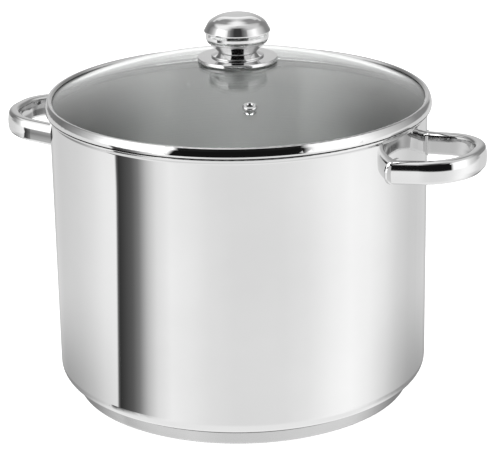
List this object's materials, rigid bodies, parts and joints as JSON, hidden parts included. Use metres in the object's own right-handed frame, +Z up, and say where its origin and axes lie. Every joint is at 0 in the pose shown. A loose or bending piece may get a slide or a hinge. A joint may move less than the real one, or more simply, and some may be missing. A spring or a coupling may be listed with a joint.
{
  "type": "stock pot",
  "caption": "Straight-sided polished steel stock pot with an encapsulated base, welded loop handles and a steel-rimmed glass lid with a vent and a round knob.",
  "frame": {"origin": "centre of the foot on the surface that the pot stands on", "axes": "+Z up along the pot's axis, handles along X"},
  "size_m": [0.3782, 0.2862, 0.2865],
  "materials": {
    "pot_steel": "mirror polished outside, satin inside",
    "base_steel": "polished",
    "core_aluminium": "mill finish",
    "handle_steel": "mirror polished",
    "rim_steel": "mirror polished",
    "knob_steel": "mirror polished",
    "fastener_steel": "plain",
    "lid_glass": "clear tempered",
    "silicone": "matt translucent"
  },
  "bodies": {
    "pot": {"pot_body": "pot_steel", "base_core_disc": "core_aluminium", "base_cap": "base_steel", "handle_right": "handle_steel", "handle_left": "handle_steel"},
    "lid": {"lid_glass": "lid_glass", "lid_rim_band": "rim_steel", "vent_eyelet": "rim_steel", "vent_seal": "silicone", "knob_gasket": "silicone", "knob_disc": "knob_steel", "knob_bowl": "knob_steel", "knob_dome": "knob_steel", "knob_insert": "fastener_steel", "soft_bush": "silicone", "flat_washer": "fastener_steel", "spring_washer": "fastener_steel", "knob_screw": "fastener_steel"}
  },
  "joints": [
    {"name": "lid_lift", "type": "slide", "parent": "pot", "child": "lid", "axis": [0, 0, 1], "range_m": [0, 0.2]}
  ]
}
